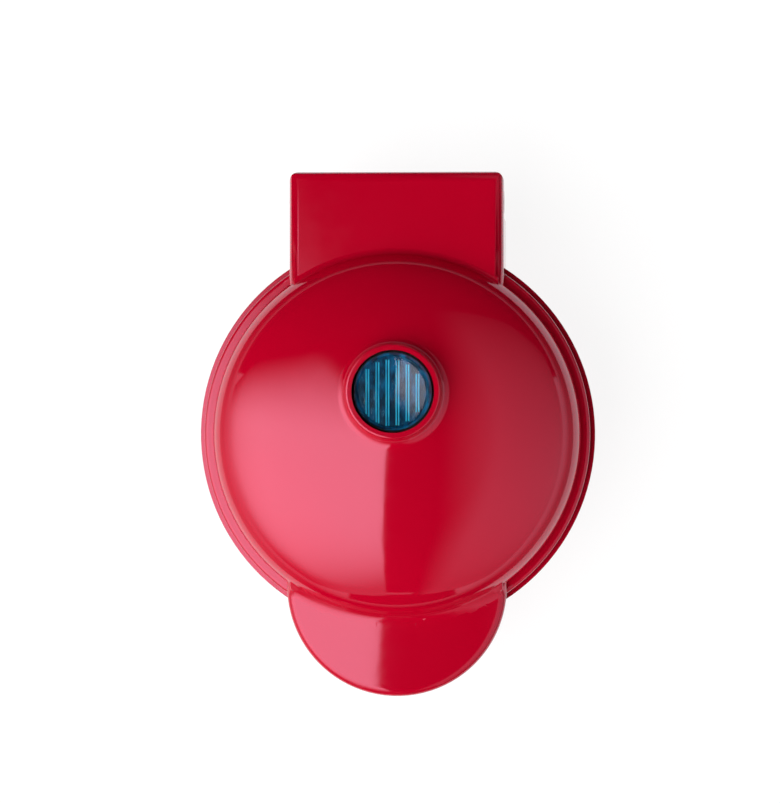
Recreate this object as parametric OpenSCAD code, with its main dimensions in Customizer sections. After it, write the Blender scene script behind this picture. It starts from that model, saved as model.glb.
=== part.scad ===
// Mini waffle maker: a round two-shell iron with a domed lid, a half-moon
// handle tab at the front and a hinge block at the back.
// The origin is on the table, on the axis of the round body. +Y is the back.

/* [Round body] */
// Radius of the base's rim
rim_r = 60.5; // [54:0.5:68]
// How far the handle tab and the hinge block each stand out from the rim
end_reach = 19.5; // [18:0.5:23]
// How far the lid's rim stands in from the base's rim
lid_inset = 1.5; // [1:0.1:2]
// Height above the table of the plane halfway between lid and base
join_z = 37.75; // [36:0.25:42]
// Gap between the rims of lid and base when the lid is closed
seam_gap = 0.5; // [0.4:0.1:1]
// Wall thickness of both shells
wall = 2; // [1.8:0.1:2.2]
// Height of the base's rim band
rim_band_h = 6.5; // [6:0.5:9]
// Width of the ledge under the base's rim band
rim_ledge = 3; // [2.5:0.1:3.5]
// Gap between the underside of the base and the table
ground_gap = 3; // [2:0.5:5]
// Radius of the curve where the bowl turns into its flat bottom
bowl_corner_r = 14; // [10:1:18]

/* [Dome] */
// Height of the lid's rim above its lower edge
lid_rim_h = 4; // [3.8:0.1:4.6]
// Width of the ledge between the lid's rim and the foot of the dome
lid_ledge = 2.7; // [2.4:0.1:3.2]
// Radius of the dome's haunch, between crown and shoulder
haunch_r = 62; // [58:1:66]
// Radius of the dome's shoulder, where it turns down to the rim
shoulder_r = 15; // [14:0.5:16]
// Height of the plain foot below the shoulder
dome_foot_h = 0.6; // [0.4:0.1:1]
// Rounding of the lid's rim
lid_rim_round = 1.2; // [0.6:0.1:1.6]

/* [Handle tab] */
// Radius of the half-moon handle tab
tab_r = 33.6; // [31:0.2:35]
// Height of the tab's top above the joint plane
tab_h = 8.75; // [8:0.25:9.5]
// Rounding along the tab's top edge
tab_round = 2.5; // [1.5:0.1:3]
// How far the base's tab stands in from the lid's
tab_inset = 0.8; // [0.4:0.1:2]
// Height of the base's tab
base_tab_h = 7; // [6:0.5:9]
// Radius of the concave fillet between the dome and the tab and block
dome_fillet = 2.5; // [1.5:0.1:3]

/* [Hinge] */
// Width of the hinge block
block_w = 65.3; // [60:0.5:68]
// Rounding of the block's edges
block_round = 3; // [2:0.1:3.5]
// Radius of the hinge knuckles on the base
knuckle_r = 6.4; // [6:0.1:7]
// Clearance between the knuckles and the hollow of the lid's block
knuckle_gap = 0.6; // [0.5:0.1:0.8]
// Height of the hinge axis above the joint plane
hinge_rise = 0.25; // [0:0.05:0.4]
// Thickness of the ears that hold the hinge pins
ear_t = 3.45; // [3:0.05:4]
// Gap between each ear and the knuckle beside it
ear_gap = 0.4; // [0.3:0.1:0.6]
// Radius of the rounded lug under each ear
lug_r = 6.2; // [5:0.1:6.4]
// Gap in the middle between the two knuckles, for the leads
lead_gap = 14; // [10:1:15]
// How far the base's back wall stands in front of the hinge axis
stop_back = 2; // [2:0.1:2.6]
// Radius of the hinge pins
pin_r = 2; // [1.5:0.1:2.5]
// Length of the hinge pins
pin_l = 14; // [12:0.5:18]
// Radius of the hinge pins' heads
pin_head_r = 3.4; // [3:0.1:4]
// Thickness of the hinge pins' heads
pin_head_t = 1.2; // [0.8:0.1:1.5]
// Radial running clearance of the pins in the knuckles
pin_play = 0.06; // [0.02:0.01:0.1]

/* [Waffle plates] */
// How far the plates' edges stand in from the base's rim
plate_margin = 9.5; // [9:0.1:12]
// Gap between the rims of the two plates when closed
plate_gap = 0.8; // [0.6:0.1:1.2]
// Gap between the facing studs of the two plates, where the batter joins
batter_gap = 5; // [4.6:0.1:6]
// Depth of the waffle grid
grid_depth = 5.5; // [4:0.5:6]
// Metal left under the grid
plate_floor = 3.2; // [2.8:0.1:3.4]
// Distance from stud to stud of the waffle grid
grid_pitch = 10.5; // [9:0.5:13]
// Width of a stud at its top
stud_w = 5.6; // [4.6:0.1:6.4]
// Slope of the stud's sides
draft = 8; // [4:1:12]
// How far the round field of studs stands in from the plate's edge
plate_land = 7.5; // [7:0.1:10]
// Width of the channel around the studs
channel_w = 2.6; // [2:0.1:3]
// Thickness of the plate's outer edge
plate_edge_t = 6.5; // [5:0.5:7]

/* [Heaters] */
// How far the heater's ring stands in from the edge of the field of studs
heater_in = 14; // [13:0.5:16]
// Radius of the heater tube
heater_r = 3; // [2.5:0.1:3.2]
// Clearance of the heater tube in its cast seat
heater_play = 0.05; // [0.03:0.01:0.15]
// Open angle between the ends of the heater tube
heater_open = 56; // [40:2:80]
// Radius of the bend that turns the heater's ends down
heater_bend_r = 4.5; // [4:0.1:5]
// Length of the heater's straight ends
heater_end_l = 1.5; // [1:0.1:2]

/* [Pans] */
// Thickness of the pressed steel
sheet_t = 0.7; // [0.5:0.1:0.8]
// Gap between the plate's edge and the pan's wall
pan_gap = 0.8; // [0.5:0.1:1]
// Gap between the heater and the pan's floor
heater_gap = 0.85; // [0.6:0.05:1.2]
// How far the pan's flat floor reaches past the heater tube
pan_floor_margin = 3; // [2:0.5:4]
// Depth of the pan's upright wall
pan_wall_h = 7.2; // [6:0.1:7.4]
// Clearance between the pan's edge and the shell
pan_edge_gap = 0.3; // [0.2:0.1:0.5]

/* [Lamp] */
// How far the lamp stands behind the axis of the dome
lamp_y = 13; // [10:0.5:15]
// Radius of the lens
lens_r = 11.6; // [10:0.1:12]
// Gap between the lens and its collar
lens_gap = 0.8; // [0.4:0.1:1]
// Thickness of the collar's wall
collar_t = 1.8; // [1.4:0.1:2.2]
// Height of the collar's top above the crown of the dome
collar_rise = 3.5; // [2.5:0.1:5]
// Length of the collar
collar_l = 10.5; // [9:0.5:11]
// Radius of the concave skirt around the collar
skirt_r = 3.5; // [2.5:0.1:4]
// Number of ribs in the lens
lens_ribs = 6; // [4:1:8]
// Distance between the ribs of the lens
rib_pitch = 3; // [2.4:0.1:3.4]

/* [Fasteners and feet] */
// Radius of the screws
screw_r = 1.5; // [1.25:0.05:1.6]
// Radius of the screw heads
head_r = 2.8; // [2.4:0.1:3]
// Thickness of the screw heads
head_t = 1.8; // [1.2:0.1:2]
// Thickness of the flat heads in the lid's underside
flat_head_t = 1.2; // [0.8:0.1:1.2]
// Clearance around a screw in the hole that it bites into
bite = 0.05; // [0.03:0.01:0.1]
// Clearance around a screw that passes through
pass = 0.25; // [0.15:0.05:0.4]
// Radius of the screw bosses
boss_r = 3.4; // [3.1:0.1:3.8]
// How far the ring of plate and base screws stands in from the heater's ring
screw_in = 9.5; // [9:0.1:10.5]
// Half the distance between the two screws of the handle cover
tab_screw_x = 15; // [13:0.5:17]
// Half the distance between the two rear screws of the lid's pan
rear_screw_x = 18; // [16:0.5:19]
// Width of the lid pan's front ear
pan_ear_w = 13; // [11:0.5:14]
// Radius of the feet
foot_r = 5; // [4:0.5:6]
// Radius of the feet's plugs
plug_r = 2.4; // [2:0.1:3]
// Distance of the front feet from the middle, to the side and to the front
foot_front = 21; // [19:0.5:23]
// Distance of the rear feet from the middle, to the side
foot_rear_x = 24; // [21:0.5:25]
// Distance of the rear feet from the back wall
foot_rear_in = 9; // [8:0.5:11]
// Length of the vents in the bottom
vent_l = 5.5; // [4:0.5:6]
// Width of the vents
vent_w = 2; // [1.6:0.1:2.4]

/* [Mains inlet] */
// Radius of the cord that the gland takes
cord_r = 3.2; // [2.8:0.1:3.4]
// Clearance of the cord in the gland
cord_gap = 0.15; // [0.1:0.05:0.3]
// Height of the cord's axis above the table
cord_z = 13; // [12:0.5:16]
// Half the distance between the screws of the cord clamp
clamp_x = 9.5; // [9:0.5:11]
// Width of the cord clamp
clamp_w = 7; // [6:0.5:8]
// Thickness of the cord clamp's strap
clamp_t = 2.2; // [1.8:0.1:2.6]

/* [Thermostat, fuse and terminals] */
// Radius of the thermostat's can
thermostat_r = 7.8; // [7:0.1:8]
// Height of the thermostat
thermostat_h = 10.5; // [9:0.5:12]
// Half the distance between the thermostat's screws
thermostat_ear_x = 12; // [11.5:0.5:13]
// Thickness of the thermostat's bracket
bracket_t = 1.6; // [1.2:0.1:2]
// Radius of the thermal fuse
fuse_r = 2; // [1.6:0.1:2.2]
// Length of the thermal fuse's body
fuse_l = 20; // [16:1:22]
// Distance of the fuse in front of the middle
fuse_in = 27; // [26:0.5:29]
// Length of the terminal block
terminal_l = 22; // [20:0.5:24]
// Depth of the terminal block
terminal_w = 10; // [8:0.5:11]
// Height of the terminal block
terminal_h = 9; // [8:0.5:10]
// Gap between the terminal block and the cord clamp
terminal_gap = 1.5; // [1:0.5:3]

/* [Hidden] */
$fn = 72;

// Colours
red = "#b80a24";
black = "#26262a";
steel = "#b8babd";
coating = "#3a3a3d";

// Small overlap that keeps cuts and joins clean
eps = 0.05;
// Longer than any piece, for cuts that run right through
far = 100;

// Round body
reach = rim_r + end_reach;
overall_l = 2 * reach;
lid_r = rim_r - lid_inset;
base_top = join_z - seam_gap / 2;
lid_bottom = join_z + seam_gap / 2;
band_bottom = base_top - rim_band_h;
bowl_r = rim_r - rim_ledge;
// Arcs that follow each other meet with this small change of angle
crease = 2;
// The bowl's side runs in an arc down to this angle, and its corner from there
bowl_turn = 60;
bowl_side_r = (band_bottom - ground_gap - bowl_corner_r
               * (sin(90 - crease) - sin(bowl_turn + crease))) / sin(bowl_turn);
bowl_side_c = [bowl_r - bowl_side_r, band_bottom];
bowl_meet = bowl_side_c + bowl_side_r * [cos(bowl_turn), -sin(bowl_turn)];
bowl_corner_c = bowl_meet
    - bowl_corner_r * [cos(bowl_turn + crease), -sin(bowl_turn + crease)];

// Dome: three arcs that run into each other, crown, haunch and shoulder
crown_turn = 15;
haunch_turn = 35;
shoulder_turn = 86;
lid_flange_z = lid_bottom + lid_rim_h;
dome_foot_r = lid_r - lid_ledge;
crown_r = (dome_foot_r - haunch_r * (sin(haunch_turn) - sin(crown_turn + crease))
           - shoulder_r * (sin(shoulder_turn) - sin(haunch_turn + crease)))
          / sin(crown_turn);
dome_top = lid_flange_z + dome_foot_h + crown_r * (1 - cos(crown_turn))
           + haunch_r * (cos(crown_turn + crease) - cos(haunch_turn))
           + shoulder_r * (cos(haunch_turn + crease) - cos(shoulder_turn));
crown_c = [0, dome_top - crown_r];
crown_end = crown_c + crown_r * [sin(crown_turn), cos(crown_turn)];
haunch_c = crown_end
    - haunch_r * [sin(crown_turn + crease), cos(crown_turn + crease)];
haunch_end = haunch_c + haunch_r * [sin(haunch_turn), cos(haunch_turn)];
shoulder_c = haunch_end
    - shoulder_r * [sin(haunch_turn + crease), cos(haunch_turn + crease)];
// Fillets sink this far into the faces they join
bed = 0.01;

// Handle tab
tab_y = -(reach - tab_r);
tab_top = join_z + tab_h;

// Hinge
hollow_r = knuckle_r + knuckle_gap;
hinge_y = reach - wall - hollow_r;
hinge_z = join_z + hinge_rise;
block_top = hinge_z + hollow_r + wall;
ear_in = block_w / 2 - ear_t;
knuckle_end = ear_in - ear_gap;
base_back_y = hinge_y - stop_back;
bulkhead_y = hinge_y - hollow_r - wall;
// The base's block starts under the bowl, the lid's inside the dome's wall
block_front_y = 0.6 * rim_r;
block_root_y = sqrt(pow(dome_foot_r - wall / 2, 2) - pow(block_w / 2, 2));

// Plates, worked out for the lower one; the upper one mirrors it
plate_r = rim_r - plate_margin;
stud_field_r = plate_r - plate_land;
heater_ring_r = stud_field_r - heater_in;
screw_ring_r = heater_ring_r - screw_in;
plate_rim_z = join_z - plate_gap / 2;
stud_z = join_z - batter_gap / 2;
grid_z = stud_z - grid_depth;
plate_back_z = grid_z - plate_floor;
channel_r = stud_field_r + channel_w;
wall_top_r = channel_r + (plate_rim_z - grid_z) * tan(draft);
plate_body_r = wall_top_r + 0.8;
heater_z = plate_back_z - heater_r;
pan_floor_z = heater_z - heater_r - heater_gap;
pan_top = join_z - (lid_flange_z - wall - join_z) + sheet_t;
pan_floor_r = heater_ring_r + heater_r + pan_floor_margin;
pan_wall_r = plate_r + pan_gap;
pan_turn_z = pan_top - sheet_t - pan_wall_h;
seat_h = 1;
pin_out = 1.5;
back_taper = 2.4;
clip_r = fuse_r + 0.6;
fuse_z = pan_floor_z - sheet_t - clip_r - 0.1;
base_screw_turn = [90, 210, 330];
plate_screw_turn = [30, 150, 270];
pilot_l = 7.5;

// Lamp
collar_r = lens_r + lens_gap;
collar_top = dome_top + collar_rise;
collar_bottom = collar_top - collar_l;
lens_top = collar_top - 0.8;
lens_t = 2.2;
lens_skirt_t = 1;

// Feet
foot_rear_y = base_back_y - foot_rear_in;
foot_places = [[-foot_front, -foot_front], [foot_front, -foot_front],
               [-foot_rear_x, foot_rear_y], [foot_rear_x, foot_rear_y]];
vent_r = screw_ring_r + head_r + 0.5 + 3.2;

// Screws in the lid's underside: in the middle of the handle cover, in the tab
// just outside the rim, and in the block just before the bulkhead
tab_screw_y = (tab_y - sqrt(pow(tab_r - wall, 2) - pow(tab_screw_x, 2))
               - sqrt(pow(lid_r, 2) - pow(tab_screw_x, 2))) / 2;
pan_ear_y = -(lid_r + head_r + 0.2);
rear_screw_y = bulkhead_y - head_r - 0.2;

// Cord clamp
clamp_y = base_back_y - wall - 2.1 - clamp_w / 2 - 2.4;
terminal_y = clamp_y - clamp_w / 2 - terminal_gap - terminal_w / 2;

// ---------- helpers ----------

// Rectangle with its two rounded corners at the +Y side
module back_rounded(w, y_from, y_to, r) {
    translate([-w / 2, y_from]) square([w, y_to - y_from - r]);
    translate([-w / 2 + r, y_from]) square([w - 2 * r, y_to - y_from]);
    for (side = [-1, 1]) translate([side * (w / 2 - r), y_to - r]) circle(r = r);
}

// Bar along X, the same length both sides of the middle
module bar_x(r, x_from, x_to) {
    for (side = [-1, 1])
        translate([side * (x_from + x_to) / 2, 0, 0])
            rotate([0, 90, 0]) cylinder(r = r, h = x_to - x_from, center = true);
}

// The two blocks from x_from to x_to on both sides of the middle
module pair_x(x_from, x_to, y_from, y_to, z_from, z_to) {
    for (side = [0, 1]) mirror([side, 0, 0])
        translate([x_from, y_from, z_from])
            cube([x_to - x_from, y_to - y_from, z_to - z_from]);
}

// Screw with its head at the origin and its shank along +Z
module screw(shank, head = head_t) {
    translate([0, 0, -head]) cylinder(r = head_r, h = head);
    translate([0, 0, -eps]) cylinder(r = screw_r, h = shank + eps);
}

// Children repeated at the given angles on a ring
module on_ring(r, turns) {
    for (a = turns) translate([r * cos(a), r * sin(a), 0]) children();
}

// Children mirrored in the joint plane, from the base's side to the lid's
module to_lid() {
    translate([0, 0, 2 * join_z]) mirror([0, 0, 1]) children();
}

// Half section of the space under the dome, set in by the given distance
module dome_section(inset, bottom) {
    intersection() {
        translate(crown_c) circle(r = crown_r - inset);
        union() {
            translate(haunch_c) circle(r = haunch_r - inset);
            translate([0, bottom]) square([crown_end.x - 2, far]);
        }
        union() {
            translate(shoulder_c) circle(r = shoulder_r - inset);
            translate([0, bottom]) square([haunch_end.x - 1, far]);
        }
        translate([0, bottom]) square([dome_foot_r - inset, far]);
    }
}

// Half section of the bowl, set in by the given distance, up to the rim band
module bowl_section(inset) {
    intersection() {
        union() {
            translate(bowl_side_c) circle(r = bowl_side_r - inset);
            square([bowl_side_c.x, far]);
        }
        union() {
            translate(bowl_corner_c) circle(r = bowl_corner_r - inset);
            square([bowl_corner_c.x, far]);
            translate([0, bowl_meet.y + inset / 2 + 0.4]) square(far);
        }
        translate([0, ground_gap + inset])
            square([far, band_bottom + eps - ground_gap - inset]);
    }
}

// Concave fillet between the dome and a flat top at height z
module dome_fillet_ring(z) {
    centre_z = z + dome_fillet - bed;
    reach_r = shoulder_r + dome_fillet - bed;
    centre = [shoulder_c.x + sqrt(pow(reach_r, 2) - pow(centre_z - shoulder_c.y, 2)),
              centre_z];
    inner = shoulder_c + (shoulder_r - 1) / reach_r * (centre - shoulder_c);
    rotate_extrude() difference() {
        polygon([inner, centre, [centre.x, z - 1], [inner.x, z - 1]]);
        translate(centre) circle(r = dome_fillet);
    }
}

// ---------- base ----------

// Outline of the base's hinge block, seen from above
module base_block_plan(inset) {
    back_rounded(block_w - 2 * inset, block_front_y + inset,
                 base_back_y - inset, block_round - inset);
}

module base_body() {
    rotate_extrude() {
        bowl_section(0);
        translate([0, band_bottom]) square([rim_r, rim_band_h]);
    }
    translate([0, 0, ground_gap])
        linear_extrude(base_top - ground_gap) base_block_plan(0);
    // Tab
    translate([0, tab_y, base_top - base_tab_h])
        cylinder(r = tab_r - tab_inset, h = base_tab_h);
}

module base_hollow() {
    rotate_extrude() {
        bowl_section(wall);
        translate([0, band_bottom - eps])
            square([bowl_r - wall, wall + 2 * eps]);
        translate([0, band_bottom + wall]) square([rim_r - wall, rim_band_h]);
    }
    translate([0, 0, ground_gap + wall])
        linear_extrude(base_top - ground_gap - 2 * wall) base_block_plan(wall);
    // Underside of the tab, outside the rim
    difference() {
        translate([0, tab_y, base_top - base_tab_h - eps])
            cylinder(r = tab_r - tab_inset - wall, h = base_tab_h - wall + eps);
        cylinder(r = rim_r, h = far);
        for (x = [-14, 0, 14])
            translate([x - 0.8, -reach, 0]) cube([1.6, reach, far]);
    }
}

// Hinge knuckles with the web that joins them to the block
module knuckles() {
    translate([0, hinge_y, hinge_z]) bar_x(knuckle_r, lead_gap / 2, knuckle_end);
    pair_x(lead_gap / 2, knuckle_end, base_back_y - wall, hinge_y,
           hinge_z - knuckle_r, hinge_z);
}

module base_shell() {
    post_h = pan_floor_z - sheet_t - ground_gap;
    color(red) difference() {
        union() {
            difference() {
                base_body();
                base_hollow();
            }
            knuckles();
            // Posts under the pan
            on_ring(screw_ring_r, base_screw_turn)
                translate([0, 0, ground_gap + 1])
                    cylinder(r = boss_r + 1.2, h = post_h - 1);
            // Posts of the cord clamp
            for (x = [-clamp_x, clamp_x])
                translate([x, clamp_y, ground_gap + 1])
                    cylinder(r = boss_r, h = cord_z - ground_gap - 1);
        }
        // Wells and holes of the base screws
        on_ring(screw_ring_r, base_screw_turn) {
            cylinder(r = head_r + 0.5, h = ground_gap + 8);
            cylinder(r = screw_r + pass, h = far / 4);
        }
        for (x = [-clamp_x, clamp_x])
            translate([x, clamp_y, ground_gap + wall])
                cylinder(r = screw_r + bite, h = far / 4);
        // Plug holes of the feet
        for (p = foot_places)
            translate([p.x, p.y, 0]) cylinder(r = plug_r + bite, h = 2 * ground_gap);
        // Hinge bores, and the room that the lid's lugs turn in
        translate([0, hinge_y, hinge_z]) {
            bar_x(pin_r + pin_play, block_w / 2 - pin_l, block_w / 2);
            bar_x(lug_r + 0.5, knuckle_end + 0.1, block_w / 2 + 1);
        }
        // Opening for the leads to the lid
        translate([-lead_gap / 2 + 1, bulkhead_y - 2, base_top - wall - 1])
            cube([lead_gap - 2, base_back_y - wall - bulkhead_y + 2, wall + 2]);
        // Cord gland
        translate([0, base_back_y - wall - 1, cord_z]) rotate([-90, 0, 0])
            cylinder(r = cord_r + 1.9, h = wall + 2);
        // Vents in the bottom
        for (a = [0 : 30 : 330]) rotate([0, 0, a + 15])
            translate([vent_r, -vent_w / 2, 0]) cube([vent_l, vent_w, 2 * ground_gap]);
    }
}

module rubber_feet() {
    color(black) for (p = foot_places) translate([p.x, p.y, 0]) {
        cylinder(r1 = foot_r - 0.5, r2 = foot_r, h = 1);
        translate([0, 0, 1]) cylinder(r = foot_r, h = ground_gap - 1);
        cylinder(r = plug_r, h = ground_gap + wall);
        translate([0, 0, ground_gap + wall])
            cylinder(r1 = plug_r + 0.8, r2 = plug_r - 0.4, h = 2);
    }
}

module base_screws() {
    color(steel) on_ring(screw_ring_r, base_screw_turn)
        translate([0, 0, ground_gap + 8]) screw(pan_floor_z - ground_gap - 8 + 2);
}

// ---------- plates, heaters and pans ----------

module grid_grooves() {
    half_top = (grid_pitch - stud_w) / 2;
    half_bottom = half_top - grid_depth * tan(draft);
    above = plate_gap + batter_gap;
    last = floor(stud_field_r / grid_pitch);
    for (turn = [0, 90]) rotate([0, 0, turn])
        for (i = [-last : last])
            translate([i * grid_pitch, -far / 2, 0]) rotate([-90, 0, 0])
                linear_extrude(far)
                    polygon([[-half_bottom, -grid_z], [half_bottom, -grid_z],
                             [half_top, -stud_z], [half_top, -stud_z - above],
                             [-half_top, -stud_z - above], [-half_top, -stud_z]]);
}

module plate() {
    difference() {
        union() {
            translate([0, 0, plate_rim_z - plate_edge_t])
                cylinder(r = plate_r, h = plate_edge_t);
            translate([0, 0, plate_back_z])
                cylinder(r1 = plate_body_r - back_taper, r2 = plate_body_r, h = back_taper);
            translate([0, 0, plate_back_z + back_taper])
                cylinder(r = plate_body_r, h = plate_rim_z - plate_back_z - back_taper - 1);
            // Seat of the heater
            translate([0, 0, heater_z]) rotate_extrude()
                translate([heater_ring_r - heater_r - 1.6, 0])
                    square([2 * heater_r + 3.2, heater_r + eps]);
            // Bosses of the plate screws, down to the pan
            on_ring(screw_ring_r, plate_screw_turn) translate([0, 0, pan_floor_z])
                cylinder(r = boss_r, h = plate_back_z - pan_floor_z + eps);
            // Seat of the thermostat
            translate([0, 0, plate_back_z - seat_h]) {
                cylinder(r = thermostat_r + 0.7, h = seat_h + eps);
                for (x = [-thermostat_ear_x, thermostat_ear_x]) translate([x, 0, 0])
                    cylinder(r = boss_r, h = seat_h + eps);
            }
        }
        // Field of the waffle grid
        intersection() {
            union() {
                translate([0, 0, stud_z]) cylinder(r = plate_r, h = far);
                grid_grooves();
                translate([0, 0, grid_z]) difference() {
                    cylinder(r = plate_r, h = far);
                    translate([0, 0, -1]) cylinder(r = stud_field_r, h = far);
                }
            }
            translate([0, 0, grid_z])
                cylinder(r1 = channel_r, r2 = wall_top_r, h = plate_rim_z - grid_z + eps);
        }
        translate([0, 0, heater_z]) rotate_extrude()
            translate([heater_ring_r, 0]) circle(r = heater_r + heater_play);
        on_ring(screw_ring_r, plate_screw_turn) translate([0, 0, pan_floor_z - 1])
            cylinder(r = screw_r + bite, h = pilot_l + 1);
        for (x = [-thermostat_ear_x, thermostat_ear_x])
            translate([x, 0, plate_back_z - seat_h - 1])
                cylinder(r = screw_r + bite, h = 4);
    }
}

// Children at the two places where the heater's ends point down
module at_heater_ends() {
    for (side = [0, 1]) mirror([side, 0, 0])
        rotate([0, 0, 90 - heater_open / 2])
            translate([heater_ring_r, heater_bend_r, heater_z - heater_bend_r])
                children();
}

module heater() {
    rotate([0, 0, 90 + heater_open / 2]) translate([0, 0, heater_z])
        rotate_extrude(angle = 360 - heater_open)
            translate([heater_ring_r, 0]) circle(r = heater_r);
    at_heater_ends() {
        translate([0, -heater_bend_r, 0]) rotate([0, -90, 0]) rotate_extrude(angle = 90)
            translate([heater_bend_r, 0]) circle(r = heater_r);
        translate([0, 0, -heater_end_l]) cylinder(r = heater_r, h = heater_end_l);
        translate([0, 0, -heater_end_l - pin_out]) cylinder(r = 1.1, h = pin_out + eps);
    }
}

// Pressed pan: a flange around the plate, an upright wall, a cone and a floor
module pan_sheet(flange_r) {
    outer_r = pan_wall_r + sheet_t;
    rotate_extrude() polygon([
        [pan_wall_r, pan_top], [flange_r, pan_top], [flange_r, pan_top - sheet_t],
        [outer_r, pan_top - sheet_t], [outer_r, pan_turn_z],
        [pan_floor_r, pan_floor_z - sheet_t], [11, pan_floor_z - sheet_t],
        [11, pan_floor_z], [pan_floor_r - 0.35, pan_floor_z],
        [pan_wall_r, pan_turn_z + 0.35]]);
}

module pan_holes() {
    on_ring(screw_ring_r, plate_screw_turn) translate([0, 0, pan_floor_z - 2])
        cylinder(r = screw_r + pass, h = 4);
    at_heater_ends() translate([0, 0, -far / 4])
        cylinder(r = heater_r + 0.6, h = far / 4 + heater_bend_r);
}

module lower_pan() {
    edge_r = rim_r - wall - pan_edge_gap;
    color(steel) difference() {
        union() {
            pan_sheet(edge_r);
            // Lip that stands on the step of the base's rim
            translate([0, 0, band_bottom + wall]) difference() {
                cylinder(r = edge_r, h = pan_top - band_bottom - wall);
                translate([0, 0, -1]) cylinder(r = edge_r - sheet_t, h = far);
            }
            // Drawn collars for the base screws
            on_ring(screw_ring_r, base_screw_turn) translate([0, 0, pan_floor_z - eps])
                cylinder(r = screw_r + 1.3, h = 2);
        }
        pan_holes();
        on_ring(screw_ring_r, base_screw_turn) translate([0, 0, pan_floor_z - 2])
            cylinder(r = screw_r + bite, h = 5);
    }
}

module lower_plate() { color(coating) plate(); }

module lower_element() { color("#8d8f90") heater(); }

module plate_screws() {
    on_ring(screw_ring_r, plate_screw_turn) translate([0, 0, pan_floor_z - sheet_t])
        screw(sheet_t + pilot_l - 0.5);
}

module lower_plate_screws() { color(steel) plate_screws(); }

module thermostat() {
    top = plate_back_z - seat_h;
    color(black) difference() {
        union() {
            translate([0, 0, top - thermostat_h]) cylinder(r = thermostat_r, h = thermostat_h);
            translate([0, 0, top - bracket_t]) {
                translate([-thermostat_ear_x, -boss_r, 0])
                    cube([2 * thermostat_ear_x, 2 * boss_r, bracket_t]);
                for (x = [-thermostat_ear_x, thermostat_ear_x]) translate([x, 0, 0])
                    cylinder(r = boss_r, h = bracket_t);
            }
            // Terminals
            for (x = [-thermostat_r / 2, thermostat_r / 2])
                translate([x - 0.4, -3, top - thermostat_h - 2.5]) cube([0.8, 6, 3]);
        }
        for (x = [-thermostat_ear_x, thermostat_ear_x]) translate([x, 0, top - 3])
            cylinder(r = screw_r + pass, h = 4);
    }
}

module thermostat_screws() {
    color(steel) for (x = [-thermostat_ear_x, thermostat_ear_x])
        translate([x, 0, plate_back_z - seat_h - bracket_t]) screw(bracket_t + 2.5);
}

// ---------- wiring in the base ----------

module thermal_fuse() {
    color("#e8e4d8") translate([0, -fuse_in, fuse_z]) rotate([0, 90, 0]) {
        cylinder(r = fuse_r, h = fuse_l, center = true);
        cylinder(r = fuse_r / 4, h = 1.5 * fuse_l, center = true);
    }
}

// Saddle of bent sheet that holds the fuse against the pan
module fuse_clip() {
    clip_l = fuse_l / 4;
    color(steel) translate([0, -fuse_in, fuse_z]) difference() {
        union() {
            rotate([0, 90, 0]) cylinder(r = clip_r, h = clip_l, center = true);
            translate([-clip_l / 2, -clip_r, 0])
                cube([clip_l, 2 * clip_r, pan_floor_z - sheet_t - fuse_z]);
        }
        rotate([0, 90, 0]) cylinder(r = fuse_r + bite, h = far, center = true);
        translate([-clip_l, -fuse_r - bite, 0])
            cube([2 * clip_l, 2 * (fuse_r + bite), fuse_r + bite]);
    }
}

module terminal_block() {
    way_x = terminal_l / 4;
    color("#e9e5da") translate([0, terminal_y, ground_gap + wall]) difference() {
        translate([-terminal_l / 2, -terminal_w / 2, 0])
            cube([terminal_l, terminal_w, terminal_h]);
        for (x = [-way_x, way_x]) {
            translate([x, -far / 2, terminal_h * 0.45]) rotate([-90, 0, 0])
                cylinder(r = 1.5, h = far);
            translate([x, 0, terminal_h * 0.45]) cylinder(r = 1.8, h = terminal_h);
        }
    }
}

module cord_gland() {
    back = base_back_y;
    color(black) translate([0, 0, cord_z]) rotate([-90, 0, 0]) difference() {
        union() {
            translate([0, 0, back + 0.05]) cylinder(r1 = cord_r + 3.6, r2 = cord_r + 2.6, h = 2.6);
            translate([0, 0, back - wall - 0.1]) cylinder(r = cord_r + 1.8, h = wall + 0.3);
            translate([0, 0, back - wall - 2.1]) cylinder(r = cord_r + 3, h = 2);
        }
        translate([0, 0, back - wall - 5]) cylinder(r = cord_r + cord_gap, h = wall + 10);
    }
}

module cord_clamp() {
    color(black) translate([0, clamp_y, cord_z]) difference() {
        union() {
            translate([-clamp_x - boss_r, -clamp_w / 2, 0])
                cube([2 * (clamp_x + boss_r), clamp_w, clamp_t]);
            rotate([90, 0, 0]) cylinder(r = cord_r + clamp_t, h = clamp_w, center = true);
        }
        rotate([90, 0, 0]) cylinder(r = cord_r, h = far, center = true);
        translate([-far / 2, -far / 2, -far]) cube(far);
        for (x = [-clamp_x, clamp_x]) translate([x, 0, -1])
            cylinder(r = screw_r + pass, h = clamp_t + 2);
    }
}

module cord_clamp_screws() {
    color(steel) for (x = [-clamp_x, clamp_x])
        translate([x, clamp_y, cord_z + clamp_t]) rotate([180, 0, 0]) screw(clamp_t + 4.8);
}

// ---------- lid ----------

// The hinge block's outer form: three outlines that cross, one for each direction
module lid_block() {
    z_from = lid_bottom;
    intersection() {
        translate([0, 0, z_from]) linear_extrude(block_top - z_from)
            back_rounded(block_w, block_root_y, reach, block_round);
        rotate([90, 0, 0]) translate([0, 0, -far]) linear_extrude(far)
            back_rounded(block_w, z_from, block_top, block_round);
        translate([-far / 2, 0, 0]) rotate([90, 0, 90]) linear_extrude(far) {
            translate([0, z_from]) square([reach - block_round, block_top - z_from]);
            translate([0, z_from]) square([reach, block_top - z_from - block_round]);
            translate([reach - block_round, block_top - block_round])
                circle(r = block_round);
        }
    }
}

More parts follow.
